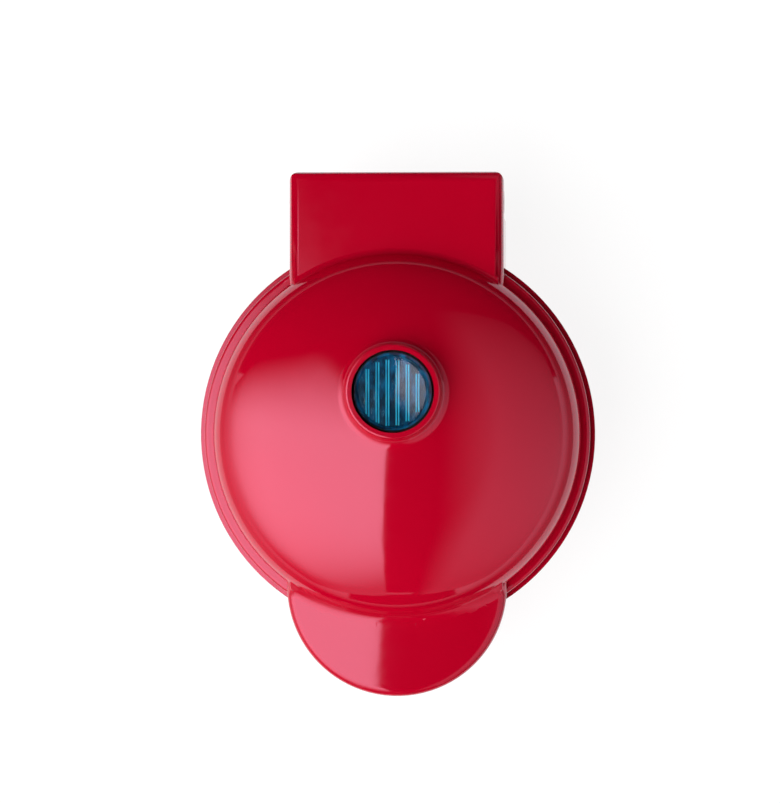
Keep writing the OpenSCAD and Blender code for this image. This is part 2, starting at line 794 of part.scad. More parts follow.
module lid_tab() {
    translate([0, tab_y, 0]) rotate_extrude() {
        translate([0, lid_bottom]) square([tab_r, tab_h - seam_gap / 2 - tab_round]);
        translate([0, lid_bottom]) square([tab_r - tab_round, tab_h - seam_gap / 2]);
        translate([tab_r - tab_round, tab_top - tab_round]) circle(r = tab_round);
    }
}

// Skirt around the lamp's collar, square to the dome, so that it runs into it
module collar_skirt() {
    lean = asin(lamp_y / (crown_r + skirt_r));
    stem_r = collar_r + collar_t;
    centre_x = stem_r + skirt_r - 10 * bed;
    centre_y = sqrt(pow(crown_r + skirt_r - bed, 2) - pow(centre_x, 2));
    inner = [centre_x, centre_y] * (crown_r - 1) / (crown_r + skirt_r);
    intersection() {
        translate([0, 0, crown_c.y]) rotate([-lean, 0, 0])
            rotate_extrude() difference() {
                polygon([[0, inner.y], inner, [centre_x, centre_y], [0, centre_y]]);
                translate([centre_x, centre_y]) circle(r = skirt_r);
            }
        translate([0, lamp_y, collar_bottom]) cylinder(r = far / 3, h = collar_l - 0.7);
    }
}

module lid_outside() {
    rotate_extrude() {
        dome_section(0, lid_flange_z - wall);
        translate([0, lid_bottom]) square([lid_r, lid_rim_h - lid_rim_round]);
        translate([0, lid_bottom]) square([lid_r - lid_rim_round, lid_rim_h]);
        translate([lid_r - lid_rim_round, lid_flange_z - lid_rim_round])
            circle(r = lid_rim_round);
    }
    lid_tab();
    lid_block();
    intersection() {
        dome_fillet_ring(tab_top);
        translate([0, tab_y, 0]) cylinder(r = tab_r - tab_round / 2, h = far);
    }
    intersection() {
        dome_fillet_ring(block_top);
        translate([-block_w / 2 + block_round / 2, 0, 0])
            cube([block_w - block_round, reach, far]);
    }
    collar_skirt();
}

module lid_hollow() {
    rotate_extrude() {
        dome_section(wall, lid_flange_z - wall - eps);
        translate([0, lid_bottom - 1]) square([lid_r - wall, lid_rim_h - wall + 1]);
    }
    // Tab
    difference() {
        translate([0, tab_y, lid_bottom - 1])
            cylinder(r = tab_r - wall, h = tab_top - wall - lid_bottom + 1);
        cylinder(r = lid_r, h = far);
    }
    // Front of the block, as far as the bulkhead
    inner_x = block_w / 2 - ear_t;
    difference() {
        translate([-inner_x, block_front_y, lid_bottom - 1])
            cube([2 * inner_x, bulkhead_y - block_front_y,
                  block_top - wall - lid_bottom + 1]);
        translate([0, 0, lid_flange_z - wall]) cylinder(r = lid_r, h = far);
    }
    // Hollow around the knuckles
    translate([0, hinge_y, hinge_z]) {
        rotate([0, 90, 0]) cylinder(r = hollow_r, h = 2 * ear_in, center = true);
        translate([-ear_in, -hollow_r, -10]) cube([2 * ear_in, 2 * hollow_r, 10]);
    }
}

module lid_shell() {
    boss_top = tab_top - wall + eps;
    flange_under = lid_flange_z - wall;
    color(red) difference() {
        union() {
            difference() {
                lid_outside();
                lid_hollow();
            }
            // Lugs under the ears
            translate([0, hinge_y, hinge_z]) bar_x(lug_r, ear_in, block_w / 2);
            // Collar of the lens
            translate([0, lamp_y, collar_bottom])
                cylinder(r = collar_r + collar_t, h = collar_l - 0.6);
            translate([0, lamp_y, collar_top - 0.6]) rotate_extrude() {
                translate([0, -eps]) square([collar_r + collar_t - 0.6, 0.6 + eps]);
                translate([collar_r + collar_t - 0.6, 0]) circle(r = 0.6);
            }
            // Bosses: handle cover, front ear and back ears of the pan
            for (x = [-tab_screw_x, tab_screw_x])
                translate([x, tab_screw_y, flange_under + 0.3])
                    cylinder(r = boss_r, h = boss_top - flange_under - 0.3);
            translate([0, pan_ear_y, flange_under])
                cylinder(r = boss_r, h = boss_top - flange_under);
            for (x = [-rear_screw_x, rear_screw_x])
                translate([x, rear_screw_y, flange_under])
                    cylinder(r = boss_r, h = block_top - wall + eps - flange_under);
        }
        translate([0, lamp_y, collar_bottom - 1]) cylinder(r = collar_r, h = far);
        // Way through the rim for the pan's front ear
        translate([-pan_ear_w / 2 - 0.3, -lid_r - 1, lid_bottom - 1])
            cube([pan_ear_w + 0.6, 6, flange_under - lid_bottom + 1]);
        // Screw holes
        for (x = [-tab_screw_x, tab_screw_x]) translate([x, tab_screw_y, lid_bottom])
            cylinder(r = screw_r + bite, h = 6.5);
        translate([0, pan_ear_y, lid_bottom]) cylinder(r = screw_r + bite, h = 6.5);
        for (x = [-rear_screw_x, rear_screw_x]) translate([x, rear_screw_y, lid_bottom])
            cylinder(r = screw_r + bite, h = 6.5);
        // Hinge pins
        translate([0, hinge_y, hinge_z]) {
            bar_x(pin_r + bite, ear_in - 1, block_w / 2 + 1);
            bar_x(pin_head_r + bite, block_w / 2 - pin_head_t, block_w / 2 + 1);
        }
        // Way for the leads from the block into the dome
        translate([-4, lid_r - 8, lid_flange_z + 0.3]) cube([8, 9, 2.4]);
        translate([-5, bulkhead_y - 1, lid_bottom - 1]) cube([10, wall + 3, 3.2]);
    }
}

module upper_pan() {
    edge_r = lid_r - wall - pan_edge_gap;
    ear_z = pan_top - sheet_t;
    ear_x = ear_in - 0.4;
    color(steel) to_lid() difference() {
        union() {
            pan_sheet(edge_r);
            // Front ear, in the handle tab
            translate([0, 0, ear_z]) linear_extrude(sheet_t) difference() {
                union() {
                    translate([-pan_ear_w / 2, pan_ear_y]) square([pan_ear_w, 15]);
                    translate([0, pan_ear_y]) intersection() {
                        circle(r = pan_ear_w / 2);
                        translate([-pan_ear_w / 2, -4]) square([pan_ear_w, 6]);
                    }
                }
                circle(r = edge_r - 1);
            }
            // Back ear, in the hinge block
            translate([0, 0, ear_z]) linear_extrude(sheet_t) difference() {
                translate([-ear_x, block_front_y])
                    square([2 * ear_x, bulkhead_y - 0.4 - block_front_y]);
                circle(r = edge_r - 1);
                translate([-6, bulkhead_y - 3]) square([12, 5]);
            }
        }
        pan_holes();
        translate([0, pan_ear_y, ear_z - 1]) cylinder(r = screw_r + pass, h = 3);
        for (x = [-rear_screw_x, rear_screw_x]) translate([x, rear_screw_y, ear_z - 1])
            cylinder(r = screw_r + pass, h = 3);
    }
}

module upper_plate() { color(coating) to_lid() plate(); }

module upper_element() { color("#8d8f90") to_lid() heater(); }

module upper_plate_screws() { color(steel) to_lid() plate_screws(); }

module upper_pan_screws() {
    z = 2 * join_z - pan_top;
    color(steel) {
        translate([0, pan_ear_y, z]) screw(5, flat_head_t);
        for (x = [-rear_screw_x, rear_screw_x]) translate([x, rear_screw_y, z])
            screw(5, flat_head_t);
    }
}

module handle_cover() {
    ear_under = 2 * join_z - pan_top;
    under = lid_bottom + 0.2;
    color(black) difference() {
        translate([0, tab_y, under]) cylinder(r = tab_r - wall - 0.2, h = 2);
        translate([0, 0, -1]) cylinder(r = lid_r + 0.2, h = far);
        // Room for the pan's front ear and its screw
        translate([-pan_ear_w / 2 - 0.3, pan_ear_y - 4.8, ear_under - 0.1])
            cube([pan_ear_w + 0.6, 20, 5]);
        translate([0, pan_ear_y, 0]) cylinder(r = head_r + 0.4, h = far);
        for (x = [-tab_screw_x, tab_screw_x]) translate([x, tab_screw_y, 0]) {
            cylinder(r = head_r + 0.2, h = under + flat_head_t);
            cylinder(r = screw_r + pass, h = far);
        }
    }
}

module handle_cover_screws() {
    z = lid_bottom + 0.2 + flat_head_t;
    color(steel) for (x = [-tab_screw_x, tab_screw_x])
        translate([x, tab_screw_y, z]) screw(4.8, flat_head_t);
}

module indicator_lens() {
    color([0.1, 0.4, 0.62, 0.6]) translate([0, lamp_y, lens_top - lens_t]) {
        cylinder(r = lens_r, h = lens_t);
        // Barrel of the lens, down to its holder
        translate([0, 0, -4]) difference() {
            cylinder(r = lens_r, h = 4 + eps);
            translate([0, 0, -1]) cylinder(r = lens_r - lens_skirt_t, h = 5);
        }
        // Ribs on the underside
        for (i = [0 : lens_ribs - 1]) {
            x = (i - (lens_ribs - 1) / 2) * rib_pitch;
            half_l = sqrt(pow(lens_r - 2, 2) - x * x);
            translate([x, half_l, 0]) rotate([90, 0, 0]) linear_extrude(2 * half_l)
                polygon([[-0.8, eps], [0.8, eps], [0, -1]]);
        }
        // Key that stops the lens from turning
        translate([-lens_r - 0.5, -0.6, -3]) cube([1, 1.2, 3]);
    }
}

module lamp_holder() {
    z = collar_bottom;
    color(black) translate([0, lamp_y, z]) difference() {
        union() {
            cylinder(r = collar_r - 0.1, h = 3.4);
            translate([0, 0, -1]) cylinder(r = collar_r + collar_t - 0.2, h = 1);
        }
        translate([0, 0, 0.6]) cylinder(r = collar_r - 1.5, h = 5);
        for (x = [-6, 6]) translate([x, 0, -2]) cylinder(r = 1, h = 5);
    }
}

module neon_lamp() {
    z = collar_bottom + 3.1;
    color("#f0b070") translate([0, lamp_y, z]) rotate([0, 90, 0]) {
        cylinder(r = 2.4, h = 9, center = true);
        for (side = [-1, 1]) translate([0, 0, side * 4.5]) sphere(r = 2.4);
    }
}

module hinge_pins() {
    color(steel) for (side = [0, 1]) mirror([side, 0, 0])
        translate([block_w / 2, hinge_y, hinge_z]) rotate([0, -90, 0]) {
            translate([0, 0, 0.3]) cylinder(r = pin_head_r, h = pin_head_t - 0.35);
            translate([0, 0, 0.3]) cylinder(r = pin_r, h = pin_l - 0.8);
        }
}

base_shell();
lower_pan();
lower_plate();
lower_element();
lower_plate_screws();
base_screws();
thermostat();
thermostat_screws();
thermal_fuse();
fuse_clip();
terminal_block();
cord_gland();
cord_clamp();
cord_clamp_screws();
rubber_feet();
lid_shell();
upper_pan();
upper_plate();
upper_element();
upper_plate_screws();
upper_pan_screws();
handle_cover();
handle_cover_screws();
indicator_lens();
lamp_holder();
neon_lamp();
hinge_pins();
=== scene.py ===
from math import asin, cos, hypot, pi, radians, sin, sqrt

import bmesh
import bpy
from mathutils import Matrix, Vector


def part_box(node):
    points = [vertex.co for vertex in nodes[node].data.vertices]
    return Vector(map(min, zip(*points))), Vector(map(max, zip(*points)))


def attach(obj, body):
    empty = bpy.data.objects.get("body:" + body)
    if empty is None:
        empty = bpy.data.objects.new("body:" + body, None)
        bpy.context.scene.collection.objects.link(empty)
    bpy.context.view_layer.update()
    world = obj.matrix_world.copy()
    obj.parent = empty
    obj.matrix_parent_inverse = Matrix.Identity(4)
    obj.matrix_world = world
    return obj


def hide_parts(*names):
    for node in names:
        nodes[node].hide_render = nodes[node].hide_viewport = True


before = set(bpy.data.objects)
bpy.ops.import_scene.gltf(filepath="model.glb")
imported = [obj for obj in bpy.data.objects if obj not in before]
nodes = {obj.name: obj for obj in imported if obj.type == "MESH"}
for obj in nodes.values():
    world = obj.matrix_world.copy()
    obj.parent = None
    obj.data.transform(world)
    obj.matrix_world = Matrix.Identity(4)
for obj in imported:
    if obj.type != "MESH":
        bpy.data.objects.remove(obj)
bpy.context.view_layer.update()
scene = bpy.context.scene
mm = 0.001


# ---- Camera -----------------------------------------------------------------
# A long lens a little over a metre above the worktop, looking almost straight
# down and slightly from the right, with the handle tab towards the viewer.

frame_h_px = 803
metre_per_px = 0.3065 * mm
rim_height = 38 * mm
aim = Vector((-2.3 * mm, 10 * mm, rim_height))
lean_right = radians(2.74)
cam_distance = 1.15
sensor_h = 36

camera_data = bpy.data.cameras.new("camera")
camera_data.sensor_fit = "VERTICAL"
camera_data.sensor_height = sensor_h
camera_data.lens = sensor_h * cam_distance / (frame_h_px * metre_per_px)
camera_data.clip_end = 20
camera = bpy.data.objects.new("camera", camera_data)
scene.collection.objects.link(camera)
to_camera = Vector((sin(lean_right), 0, cos(lean_right)))
camera.location = aim + cam_distance * to_camera
camera.rotation_euler = (0, lean_right, 0)
scene.camera = camera
scene.view_settings.view_transform = "Standard"


# ---- Studio -----------------------------------------------------------------
# A white worktop in a white room whose light falls mostly from the front. A large
# soft box hangs at the left and reaches over the handle, a weak one at the right.
# Dark cloths and a low card all round keep the gloss from mirroring the room.


def new_material(name):
    material = bpy.data.materials.new(name)
    material.use_nodes = True
    material.node_tree.nodes.clear()
    return material


def stage_piece(name, bm, material):
    """Piece of the studio, which isn't part of the product."""
    mesh = bpy.data.meshes.new(name)
    bm.to_mesh(mesh)
    bm.free()
    mesh.materials.append(material)
    obj = bpy.data.objects.new(name, mesh)
    scene.collection.objects.link(obj)
    return obj


def quad(name, corners, material):
    bm = bmesh.new()
    bm.faces.new([bm.verts.new(c) for c in corners])
    return stage_piece(name, bm, material)


def mirrored_only(obj):
    """Hide an object from all but the rays that mirror it."""
    for kind in ("camera", "diffuse", "transmission", "shadow", "volume_scatter"):
        setattr(obj, "visible_" + kind, False)


def link_value(tree, socket, value):
    """Set a socket to a number, or link it to another socket."""
    if isinstance(value, (int, float)):
        socket.default_value = value
    else:
        tree.links.new(value, socket)


def calc(tree, operation, first, second=0.0):
    math = tree.nodes.new("ShaderNodeMath")
    math.operation = operation
    link_value(tree, math.inputs[0], first)
    link_value(tree, math.inputs[1], second)
    return math.outputs[0]


def ramp_on(tree, along, start, end, value_from, value_to, output="Object"):
    """Number that runs smoothly between two values along a direction."""
    place = tree.nodes.new("ShaderNodeTexCoord")
    dot = tree.nodes.new("ShaderNodeVectorMath")
    dot.operation = "DOT_PRODUCT"
    dot.inputs[1].default_value = along
    tree.links.new(place.outputs[output], dot.inputs[0])
    ramp = tree.nodes.new("ShaderNodeMapRange")
    ramp.interpolation_type = "SMOOTHSTEP"
    ramp.inputs["From Min"].default_value = start
    ramp.inputs["From Max"].default_value = end
    ramp.inputs["To Min"].default_value = value_from
    ramp.inputs["To Max"].default_value = value_to
    tree.links.new(dot.outputs["Value"], ramp.inputs["Value"])
    return ramp.outputs[0]


def mixed(tree, factor, first, second):
    """Mix of two shaders."""
    mix = tree.nodes.new("ShaderNodeMixShader")
    tree.links.new(factor, mix.inputs[0])
    tree.links.new(first.outputs[0], mix.inputs[1])
    tree.links.new(second.outputs[0], mix.inputs[2])
    return mix


def glowing(tree, strength):
    shader = tree.nodes.new("ShaderNodeEmission")
    link_value(tree, shader.inputs["Strength"], strength)
    return shader


def finished(tree, shader):
    """Lead a shader to the material's surface."""
    output = tree.nodes.new("ShaderNodeOutputMaterial")
    tree.links.new(shader.outputs[0], output.inputs["Surface"])


def background_rays(tree):
    """1 for camera, glossy and transmission rays, 0 for the rest."""
    path = tree.nodes.new("ShaderNodeLightPath")
    total = path.outputs["Is Camera Ray"]
    for ray in ("Is Glossy Ray", "Is Transmission Ray"):
        total = calc(tree, "MAXIMUM", total, path.outputs[ray])
    return total


world = bpy.data.worlds.new("white_room")
scene.world = world
world.use_nodes = True
tree = world.node_tree
background = tree.nodes["Background"]
background.inputs["Color"].default_value = (1, 1, 1, 1)
front_fill, rear_fill, fill_span = 0.51, 0.0, 0.9
level = tree.nodes.new("ShaderNodeMix")
tree.links.new(background_rays(tree), level.inputs["Factor"])
link_value(tree, level.inputs["A"],
           ramp_on(tree, (0, 1, 0), -fill_span, fill_span, front_fill, rear_fill,
                   "Generated"))
level.inputs["B"].default_value = 1
tree.links.new(level.outputs["Result"], background.inputs["Strength"])

# Seen or mirrored, the worktop glows white; to all other rays it is plain white
worktop = new_material("worktop")
tree = worktop.node_tree
worktop_white, seen_grey, seen_glow = 0.9, 0.16, 0.88
plain = tree.nodes.new("ShaderNodeBsdfPrincipled")
plain.inputs["Base Color"].default_value = (worktop_white, worktop_white, worktop_white, 1)
plain.inputs["Roughness"].default_value = 0.9
seen = tree.nodes.new("ShaderNodeBsdfPrincipled")
seen.inputs["Base Color"].default_value = (seen_grey, seen_grey, seen_grey, 1)
seen.inputs["Roughness"].default_value = 1.0
seen.inputs["Specular IOR Level"].default_value = 0.0
seen.inputs["Emission Color"].default_value = (1, 1, 1, 1)
seen.inputs["Emission Strength"].default_value = seen_glow
finished(tree, mixed(tree, background_rays(tree), plain, seen))
floor_half = 2.5
quad("worktop", [(-floor_half, -floor_half, 0), (floor_half, -floor_half, 0),
                 (floor_half, floor_half, 0), (-floor_half, floor_half, 0)], worktop)

dark_cloth = new_material("dark_cloth")
cloth_glow = 0.01
finished(dark_cloth.node_tree, glowing(dark_cloth.node_tree, cloth_glow))
cloth_half, cloth_h, cloth_foot = 6, 2.4, 0.02
rear_y = 2.2
front_half, front_y = rear_y, -3 * rear_y
mirrored_only(quad("ceiling_cloth", [
    (-cloth_half, -cloth_half, cloth_h), (-cloth_half, cloth_half, cloth_h),
    (cloth_half, cloth_half, cloth_h), (cloth_half, -cloth_half, cloth_h)], dark_cloth))
for name, half, y in (("rear_cloth", cloth_half, rear_y), ("front_cloth", front_half, front_y)):
    mirrored_only(quad(name, [(-half, y, cloth_foot), (half, y, cloth_foot),
                              (half, y, cloth_h), (-half, y, cloth_h)], dark_cloth))

# Low card all round: pale at the sides, dark in front and behind, clear at its top
low_card = new_material("low_card")
tree = low_card.node_tree
card_r, card_h = 0.17, 0.07
card_fade_from = 0.4 * card_h
side_from, side_to, left_glow, right_glow = 0.07, 0.15, 0.5, 0.3
dim_from, dim_to, rear_part = -0.02, 0.12, 0.06
sides = calc(tree, "ADD", ramp_on(tree, (-1, 0, 0), side_from, side_to, 0, left_glow),
             ramp_on(tree, (1, 0, 0), side_from, side_to, 0, right_glow))
lit = glowing(tree, calc(tree, "MULTIPLY", sides,
                         ramp_on(tree, (0, 1, 0), dim_from, dim_to, 1, rear_part)))
clear = tree.nodes.new("ShaderNodeBsdfTransparent")
finished(tree, mixed(tree, ramp_on(tree, (0, 0, 1), card_fade_from, card_h, 0, 1), lit, clear))
bm = bmesh.new()
bmesh.ops.create_cone(bm, cap_ends=False, segments=96, radius1=card_r, radius2=card_r,
                      depth=card_h)
bmesh.ops.translate(bm, verts=bm.verts, vec=(0, 0, card_h / 2))
mirrored_only(stage_piece("low_card", bm, low_card))


def soft_box(name, corners, ramps):
    """Glowing panel whose light is the product of its ramps."""
    material = new_material(name)
    tree = material.node_tree
    level = 1.0
    for ramp in ramps:
        level = calc(tree, "MULTIPLY", level, ramp_on(tree, *ramp))
    finished(tree, glowing(tree, level))
    box = quad(name, corners, material)
    box.visible_camera = False
    box.visible_shadow = False


# Both boxes run from their height down to the side; their ramps are in box heights
box_h = 2.2
box_side, box_front = 1.78 * box_h, -3 * box_h
left_low, right_low = 0.133 * box_h, 0.33 * box_h
left_rear, right_rear, right_near = 0.5 * box_h, 1.4 * box_h, 0.16 * box_h
left_level, right_level = 4.05, 0.78
soft_box("soft_box_left",
         [(-0.035 * box_h, left_rear, box_h), (-box_side, left_rear, left_low),
          (-box_side, box_front, left_low), (-0.3 * box_h, box_front, box_h)],
         [((0.12, 1, 0), -0.08 * box_h, 0.41 * box_h, left_level, 0),
          ((0, 1, 0), -2.1 * box_h, -0.25 * box_h, 0.15, 1),
          ((-1, -0.85, 0), 0.006 * box_h, 0.13 * box_h, 0, 1),
          ((1, 0, 0), -1.7 * box_h, -0.75 * box_h, 0.3, 1)])
soft_box("soft_box_right",
         [(right_near, right_rear, box_h), (right_near, box_front, box_h),
          (box_side, box_front, right_low), (box_side, right_rear, right_low)],
         [((1, 0, 0), right_near, 0.52 * box_h, 0, right_level),
          ((0, 1, 0), -0.5 * box_h, right_rear, 1, 0),
          ((0, 1, 0), -2.2 * box_h, -0.4 * box_h, 0.55, 1)])


# ---- Lid --------------------------------------------------------------------
# One moulding in glossy red plastic: the dome with its rim, the half-moon handle
# tab, the hinge block and the collar of the lamp, which all run into each other.

def noise(tree, size, detail=2.0, stretch=(1, 1, 1)):
    """Noise in object space with features of about the given size."""
    place = tree.nodes.new("ShaderNodeTexCoord")
    scale = tree.nodes.new("ShaderNodeVectorMath")
    scale.operation = "MULTIPLY"
    scale.inputs[1].default_value = [k / size for k in stretch]
    tree.links.new(place.outputs["Object"], scale.inputs[0])
    cloud = tree.nodes.new("ShaderNodeTexNoise")
    cloud.inputs["Scale"].default_value = 1.0
    cloud.inputs["Detail"].default_value = detail
    tree.links.new(scale.outputs[0], cloud.inputs["Vector"])
    return cloud.outputs[0]


def between(tree, value, low, high, value_from=0.3, value_to=0.7):
    """Number that runs from low to high as the value runs through its range."""
    ranged = tree.nodes.new("ShaderNodeMapRange")
    ranged.inputs["From Min"].default_value = value_from
    ranged.inputs["From Max"].default_value = value_to
    ranged.inputs["To Min"].default_value = low
    ranged.inputs["To Max"].default_value = high
    tree.links.new(value, ranged.inputs["Value"])
    return ranged.outputs[0]


def blend(tree, factor, first, second):
    """Mix of two colours; either may be a colour or a socket."""
    mix = tree.nodes.new("ShaderNodeMix")
    mix.data_type = "RGBA"
    tree.links.new(factor, mix.inputs[0])
    for socket, colour in ((mix.inputs[6], first), (mix.inputs[7], second)):
        if isinstance(colour, tuple):
            socket.default_value = (*colour, 1)
        else:
            tree.links.new(colour, socket)
    return mix.outputs[2]


def bumps(tree, height, depth, edge=0.0):
    """Normal of a surface with fine relief, and with its hard edges rounded."""
    bump = tree.nodes.new("ShaderNodeBump")
    bump.inputs["Distance"].default_value = depth
    tree.links.new(height, bump.inputs["Height"])
    if edge:
        rounded = tree.nodes.new("ShaderNodeBevel")
        rounded.samples = 4
        rounded.inputs["Radius"].default_value = edge
        tree.links.new(rounded.outputs[0], bump.inputs["Normal"])
    return bump.outputs[0]


def principled(tree, colour, roughness, normal, **constants):
    shader = tree.nodes.new("ShaderNodeBsdfPrincipled")
    tree.links.new(colour, shader.inputs["Base Color"])
    tree.links.new(roughness, shader.inputs["Roughness"])
    tree.links.new(normal, shader.inputs["Normal"])
    for name, value in constants.items():
        shader.inputs[name.replace("_", " ")].default_value = value
    return shader


red_deep = (0.415, 0.0, 0.014)
red_light = (0.445, 0.0, 0.0155)
red_tint = (1, 0.45, 0.64, 1)


def red_plastic(name, edge):
    """High gloss with a faint moulding ripple, slight clouding and an uneven polish."""
    material = new_material(name)
    tree = material.node_tree
    colour = blend(tree, noise(tree, 18 * mm), red_deep, red_light)
    roughness = between(tree, noise(tree, 5 * mm, 4.0), 0.055, 0.08)
    normal = bumps(tree, noise(tree, 7 * mm, 1.0), 0.012 * mm, edge)
    shader = principled(tree, colour, roughness, normal, IOR=1.5,
                        Specular_IOR_Level=1.0, Specular_Tint=red_tint)
    finished(tree, shader)
    return material


lid_red = red_plastic("lid_red", 0)

lid_foot_r = 56.3 * mm      # foot of the dome
lid_foot_z = 42.6 * mm
crown_turn, haunch_turn, shoulder_turn = radians(15), radians(35), radians(86)
crease = radians(2)
haunch_r, shoulder_r = 62 * mm, 15 * mm
haunch_w = haunch_r * (sin(haunch_turn) - sin(crown_turn + crease))
shoulder_w = shoulder_r * (sin(shoulder_turn) - sin(haunch_turn + crease))
crown_end = lid_foot_r - shoulder_w - haunch_w
haunch_end = lid_foot_r - shoulder_w
crown_r = crown_end / sin(crown_turn)
dome_top = (lid_foot_z + crown_r * (1 - cos(crown_turn))
            + haunch_r * (cos(crown_turn + crease) - cos(haunch_turn))
            + shoulder_r * (cos(haunch_turn + crease) - cos(shoulder_turn)))


def dome_turn(r):
    """Slope of the dome at a distance from its axis, as an angle."""
    if r < crown_end:
        return asin(r / crown_r)
    if r < haunch_end:
        return asin(sin(crown_turn + crease) + (r - crown_end) / haunch_r)
    return asin(min(sin(haunch_turn + crease) + (r - haunch_end) / shoulder_r,
                    sin(shoulder_turn)))


def dome_z(r):
    if r < crown_end:
        return dome_top - crown_r * (1 - cos(dome_turn(r)))
    z = dome_top - crown_r * (1 - cos(crown_turn))
    if r < haunch_end:
        return z - haunch_r * (cos(crown_turn + crease) - cos(dome_turn(r)))
    z -= haunch_r * (cos(crown_turn + crease) - cos(haunch_turn))
    return z - shoulder_r * (cos(haunch_turn + crease) - cos(dome_turn(r)))


def dome_normal(x, y):
    """The dome's direction, eased over a few millimetres where its arcs meet."""
    r = max(hypot(x, y), 1e-6)
    ease = max(0, min(3 * mm, 0.6 * (lid_foot_r - 1.5 * mm - r)))
    turn = sum(dome_turn(max(r + ease * k / 3, 0)) for k in range(-3, 4)) / 7
    return Vector((x / r * sin(turn), y / r * sin(turn), cos(turn)))


tab_y, tab_r, tab_top = -46.4 * mm, 33.6 * mm, 46.5 * mm
tab_round = 2.5 * mm
tab_crown_r = 260 * mm
tab_over_z = 43.5 * mm                          # what lies above belongs to the tab's top
tab_root_r = 55.2 * mm                          # nearer the axis the mesh isn't refined
crown_from, crown_full = 55.5 * mm, 59 * mm     # where the tab's crown sets in
outline_slack = 0.1 * mm


def smooth_step(value, start, end):
    t = max(0, min(1, (value - start) / (end - start)))
    return t * t * (3 - 2 * t)


def tab_drop(x, y):
    """How far the crowned top of the tab lies under its middle."""
    away = hypot(x, y - tab_y)
    return away * away / (2 * tab_crown_r) * smooth_step(hypot(x, y), crown_from, crown_full)


def in_tab(x, y):
    return y < tab_y / 2 and hypot(x, y - tab_y) < tab_r + outline_slack


bm = bmesh.new()
bm.from_mesh(nodes["lid_shell"].data)
bmesh.ops.remove_doubles(bm, verts=bm.verts, dist=0.001 * mm)
longest = 2.5 * mm
for _ in range(5):
    long_edges = [e for e in bm.edges if e.calc_length() > longest
                  and all(in_tab(v.co.x, v.co.y) and v.co.z > tab_over_z
                          and hypot(v.co.x, v.co.y) > tab_root_r for v in e.verts)]
    bmesh.ops.subdivide_edges(bm, edges=long_edges, cuts=1)
    bmesh.ops.triangulate(bm, faces=[f for f in bm.faces if len(f.verts) > 3])
for v in bm.verts:
    if in_tab(v.co.x, v.co.y) and v.co.z > tab_over_z:
        v.co.z -= tab_drop(v.co.x, v.co.y)
bmesh.ops.recalc_face_normals(bm, faces=bm.faces)
mesh = bpy.data.meshes.new("lid_moulding")
bm.to_mesh(mesh)
bm.free()
mesh.shade_smooth()
mesh.set_sharp_from_angle(angle=radians(24))
facing = [n.vector.copy() for n in mesh.corner_normals]
for polygon in mesh.polygons:
    for corner in polygon.loop_indices:
        x, y, z = mesh.vertices[mesh.loops[corner].vertex_index].co
        r = hypot(x, y)
        if r < lid_foot_r - outline_slack and abs(z - dome_z(r)) < 0.02 * mm:
            wanted = dome_normal(x, y)
        elif (in_tab(x, y) and hypot(x, y - tab_y) < tab_r - tab_round + outline_slack
              and abs(z - tab_top + tab_drop(x, y)) < 0.03 * mm and r > 58 * mm):
            wanted = Vector((x / tab_crown_r, (y - tab_y) / tab_crown_r, 1)).normalized()
        elif max(abs(c) for c in polygon.normal) > 0.9999:
            wanted = polygon.normal.copy()
        else:
            continue
        if polygon.normal.dot(wanted) > 0.98:
            facing[corner] = wanted
mesh.normals_split_custom_set(facing)
mesh.materials.clear()
mesh.materials.append(lid_red)
lid = bpy.data.objects.new("lid_moulding", mesh)
scene.collection.objects.link(lid)
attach(lid, "lid")
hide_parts("lid_shell")


# ---- Base shell -------------------------------------------------------------
# The same red plastic: a bowl with a rim band, a flat tab under the lid's tab,
# and the rear block with the hinge knuckles. Its moulded edges are rounded.


def dress(name, material):
    """Give a CAD node its material."""
    mesh = nodes[name].data
    mesh.materials.clear()
    mesh.materials.append(material)


dress("base_shell", red_plastic("base_red", 0.45 * mm))


# ---- Waffle plates ----------------------------------------------------------
# Cast aluminium, coated black against sticking. The coating is slightly pebbled
# and has tiny paler flecks.

coating = new_material("plate_coating")
tree = coating.node_tree
flecks = tree.nodes.new("ShaderNodeTexVoronoi")
place = tree.nodes.new("ShaderNodeTexCoord")
tree.links.new(place.outputs["Object"], flecks.inputs["Vector"])
flecks.inputs["Scale"].default_value = 1 / (0.9 * mm)
fleck = between(tree, flecks.outputs["Distance"], 1, 0, 0.06, 0.14)
colour = blend(tree, noise(tree, 12 * mm), (0.014, 0.014, 0.015), (0.022, 0.022, 0.024))
colour = blend(tree, fleck, colour, (0.13, 0.13, 0.14))
normal = bumps(tree, noise(tree, 0.7 * mm, 3.0), 0.03 * mm, 0.4 * mm)
shader = principled(tree, colour, between(tree, noise(tree, 6 * mm, 3.0), 0.34, 0.46), normal,
                    Coat_Weight=0.15, Coat_Roughness=0.2)
finished(tree, shader)
for name in ("upper_plate", "lower_plate"):
    dress(name, coating)


# ---- Pans and fuse clip -----------------------------------------------------
# Pressed from bright steel sheet, brushed along the coil, and slightly darker
# in soft patches.


def steel(name, brushed, bright, dark, rough_low, rough_high, edge):
    """Bare metal with drawn lines along one direction and slight clouding."""
    material = new_material(name)
    tree = material.node_tree
    lines = noise(tree, 0.5 * mm, 3.0, brushed)
    colour = blend(tree, between(tree, noise(tree, 14 * mm, 3.0), 0, 1), dark, bright)
    normal = bumps(tree, lines, 0.01 * mm, edge)
    shader = principled(tree, colour, between(tree, lines, rough_low, rough_high), normal,
                        Metallic=0.8)
    finished(tree, shader)
    return material


sheet = steel("pressed_sheet", (0.03, 1.6, 1.6), (0.72, 0.71, 0.7), (0.62, 0.6, 0.57),
              0.3, 0.42, 0.2 * mm)
for name in ("upper_pan", "lower_pan", "fuse_clip"):
    dress(name, sheet)


